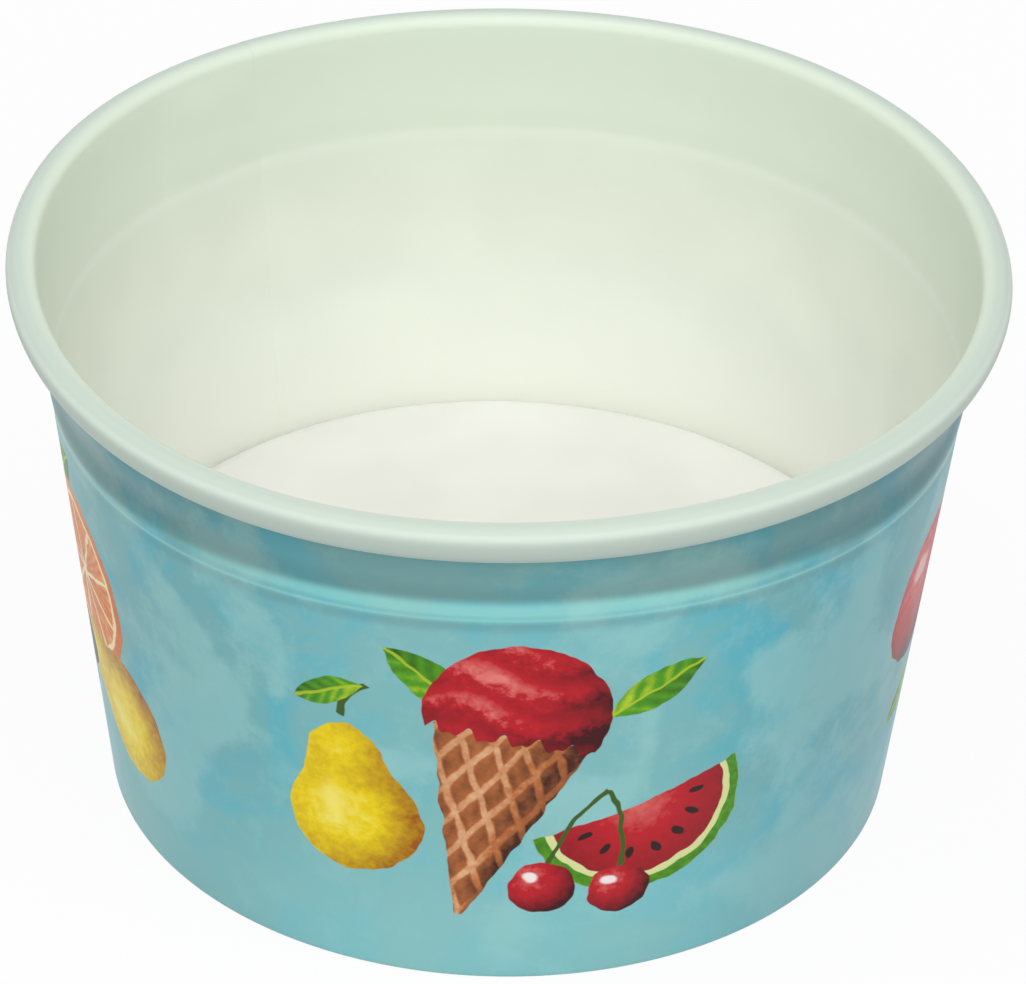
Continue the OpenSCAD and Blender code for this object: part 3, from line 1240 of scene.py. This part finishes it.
def disc_mesh(name, section):
    """Revolves the disc's section, with one point at each pole."""
    outline = disc_outline(section)
    reach = section.fold_x - section.sizes.floor_bend_r
    points = []
    rows = []
    for out, up in outline:
        count = 1 if out == 0 else DISC_COLUMNS
        rows.append(range(len(points), len(points) + count))
        for step in range(count):
            heading = TURN * step / DISC_COLUMNS
            lift = disc_wave(out, heading, reach, section.sizes.floor_sag)
            points.append((out * math.cos(heading), out * math.sin(heading), up + lift))
    faces = []
    for upper, lower in zip(rows, rows[1:]):
        for step in range(DISC_COLUMNS):
            after = (step + 1) % DISC_COLUMNS
            if len(upper) == 1:
                faces.append((upper[0], lower[step], lower[after]))
            elif len(lower) == 1:
                faces.append((upper[step], lower[0], upper[after]))
            else:
                faces.append((upper[step], lower[step], lower[after], upper[after]))
    mesh = bpy.data.meshes.new(name)
    mesh.from_pydata(points, [], faces)
    return mesh


# The pieces

def cup_section():
    """The section of the cup in the scene."""
    return Section(bpy.context.scene.cup_sizes)


def show(name, mesh):
    """Adds an object with its mesh to the scene."""
    item = bpy.data.objects.new(name, mesh)
    bpy.context.scene.collection.objects.link(item)
    return item


class CUP_OT_sidewall(Operator):
    """Make the printed board sidewall with its rim, bead, lap and hem"""

    bl_idname = "cup.sidewall"
    bl_label = "Sidewall"

    def execute(self, context):
        sizes = context.scene.cup_sizes
        colours = context.scene.cup_colours
        section = cup_section()
        radius = sizes.rim_d / 2 - sizes.rim_w
        item = show("Sidewall_Board", outline_mesh("sidewall_outline", board_outline(section)))
        values = {
            "Columns": sizes.columns,
            "Seam Angle": sizes.seam_angle,
            "Lap Angle": sizes.lap_w / radius,
            "Ramp Angle": sizes.lap_ramp / radius,
            "Board": sizes.wall_t,
            "Lap Gap": sizes.lap_gap,
            "Lap Edge": sizes.lap_edge,
            "Lap Flat": sizes.lap_flat,
            "Saddle": sizes.rim_saddle,
            "Saddle Angle": sizes.rim_saddle_at,
            "Ripple": sizes.rim_ripple,
            "Ripple Angle": sizes.rim_ripple_at,
            "Floor Height": sizes.floor_h,
            "Cup Height": sizes.cup_h,
            "Print Turns": float(PRINT_TURNS),
            "White": white_board(section, colours),
            "Front Print": printed_board("print_cone_and_melon", section, colours, front_motifs),
            "Side Print": printed_board("print_plums_and_citrus", section, colours, side_motifs),
        }
        mesh = settle(item, values)
        mesh.name = "sidewall_board"
        close_ends(mesh)
        map_board(mesh, section, sizes.seam_angle)
        finish_mesh(mesh)
        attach(item, "root")
        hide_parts("sidewall")
        return {"FINISHED"}


class CUP_OT_bottom(Operator):
    """Make the recessed bottom disc with its skirt"""

    bl_idname = "cup.bottom"
    bl_label = "Bottom disc"

    def execute(self, context):
        mesh = disc_mesh("bottom_board", cup_section())
        mesh.materials.append(floor_board(context.scene.cup_colours))
        finish_mesh(mesh)
        item = show("Bottom_Board", mesh)
        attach(item, "root")
        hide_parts("bottom_disc")
        return {"FINISHED"}


# The stage

LAMP_AIM = (0, 0, 0.03)
# Width, depth and place of each lamp
TOP_LAMP = (1.0, 0.1, (-0.05, -0.2, 1.0))
FRONT_LAMP = (0.9, 0.9, (0.05, -0.9, 0.84))
FLOOR_REACH = 3.0
FLOOR_ROUGHNESS = 0.9
FLOOR_WHITE = 0.95
CLIP_NEAR = 0.05
CLIP_FAR = 20.0


def add_light(name, power, width, depth, place):
    """Soft oblong lamp that points at the cup."""
    lamp = bpy.data.lights.new(name, "AREA")
    lamp.energy = power
    lamp.shape = "RECTANGLE"
    lamp.size = width
    lamp.size_y = depth
    item = bpy.data.objects.new(name, lamp)
    item.location = place
    item.rotation_euler = (Vector(LAMP_AIM) - Vector(place)).to_track_quat("-Z", "Y").to_euler()
    bpy.context.scene.collection.objects.link(item)


def seen(graph):
    """One for rays that show the background, and nought for those that light the object."""
    rays = graph.node("ShaderNodeLightPath", output="Is Camera Ray")
    return larger(larger(rays, rays.output("Is Glossy Ray")), rays.output("Is Transmission Ray"))


def light_world(strength):
    """Even light from all round, with a white background."""
    world = bpy.data.worlds.new("studio")
    world.use_nodes = True
    graph = Graph(world.node_tree)
    background = world.node_tree.nodes["Background"]
    background.inputs["Color"].default_value = WHITE
    graph.join(strength + (1 - strength) * seen(graph), background.inputs["Strength"])
    bpy.context.scene.world = world


def floor_material(tint):
    """Pale floor that looks white and keeps the cup's shadow."""
    material, graph, shader = new_material("floor")
    shader.inputs["Base Color"].default_value = linear(tint)
    shader.inputs["Roughness"].default_value = FLOOR_ROUGHNESS
    white = graph.node("ShaderNodeEmission", inputs={"Color": WHITE, "Strength": 1.0})
    lit = Wire(graph, shader.outputs["BSDF"])
    both = graph.node("ShaderNodeMixShader", inputs={0: FLOOR_WHITE * seen(graph), 1: lit, 2: white})
    graph.join(both, material.node_tree.nodes["Material Output"].inputs["Surface"])
    return material


def add_floor(tint):
    """Wide flat floor under the cup."""
    reach = FLOOR_REACH
    mesh = bpy.data.meshes.new("floor")
    corners = [(-reach, -reach, 0), (reach, -reach, 0), (reach, reach, 0), (-reach, reach, 0)]
    mesh.from_pydata(corners, [], [(0, 1, 2, 3)])
    mesh.materials.append(floor_material(tint))
    show("Floor", mesh)


def add_camera(stage):
    """Camera at the photograph's angle."""
    data = bpy.data.cameras.new("camera")
    data.sensor_width = SENSOR_WIDTH
    data.lens = stage.camera_lens / IMAGE_WIDTH * SENSOR_WIDTH
    data.clip_start = CLIP_NEAR
    data.clip_end = CLIP_FAR
    camera = bpy.data.objects.new("camera", data)
    down = stage.camera_height
    back = Vector((0, -math.cos(down), math.sin(down)))
    right = Vector((1, 0, 0))
    up = Vector((0, math.sin(down), math.cos(down)))
    roll = stage.camera_roll
    picture_right = math.cos(roll) * right + math.sin(roll) * up
    picture_up = math.cos(roll) * up - math.sin(roll) * right
    turn = Matrix((picture_right, picture_up, back)).transposed().to_4x4()
    aim = Vector((stage.camera_aim_x, 0, stage.camera_aim_z))
    camera.matrix_world = Matrix.Translation(aim + stage.camera_distance * back) @ turn
    bpy.context.scene.collection.objects.link(camera)
    bpy.context.scene.camera = camera


class CUP_OT_stage(Operator):
    """Make the floor, the lights and the camera"""

    bl_idname = "cup.stage"
    bl_label = "Stage"

    def execute(self, context):
        stage = context.scene.cup_stage
        context.scene.view_settings.view_transform = "Standard"
        add_camera(stage)
        light_world(stage.sky)
        add_floor(stage.floor)
        add_light("top", stage.top_light, *TOP_LAMP)
        add_light("front", stage.front_light, *FRONT_LAMP)
        return {"FINISHED"}


class CUP_PT_panel(Panel):
    """Buttons for the cup's pieces"""

    bl_idname = "CUP_PT_panel"
    bl_label = "Paper Cup"
    bl_space_type = "VIEW_3D"
    bl_region_type = "UI"
    bl_category = "Cup"

    def draw(self, context):
        for operator in OPERATORS:
            self.layout.operator(operator.bl_idname)
        for group in GROUPS:
            settings = getattr(context.scene, group)
            for name in settings.bl_rna.properties.keys():
                if name not in {"rna_type", "name"}:
                    self.layout.prop(settings, name)


GROUPS = {"cup_sizes": CupSizes, "cup_colours": CupColours, "cup_stage": CupStage}
OPERATORS = (CUP_OT_stage, CUP_OT_sidewall, CUP_OT_bottom)
CLASSES = (*GROUPS.values(), *OPERATORS, CUP_PT_panel)


def register():
    """Registers the classes and gives the scene the cup's settings."""
    for cls in CLASSES:
        bpy.utils.register_class(cls)
    for name, group in GROUPS.items():
        setattr(bpy.types.Scene, name, PointerProperty(type=group))


def unregister():
    """Takes the settings and the classes away again."""
    for name in GROUPS:
        delattr(bpy.types.Scene, name)
    for cls in reversed(CLASSES):
        bpy.utils.unregister_class(cls)


def main():
    """Builds the stage and the cup."""
    register()
    bpy.ops.cup.stage()
    bpy.ops.cup.sidewall()
    bpy.ops.cup.bottom()


if __name__ == "__main__":
    main()
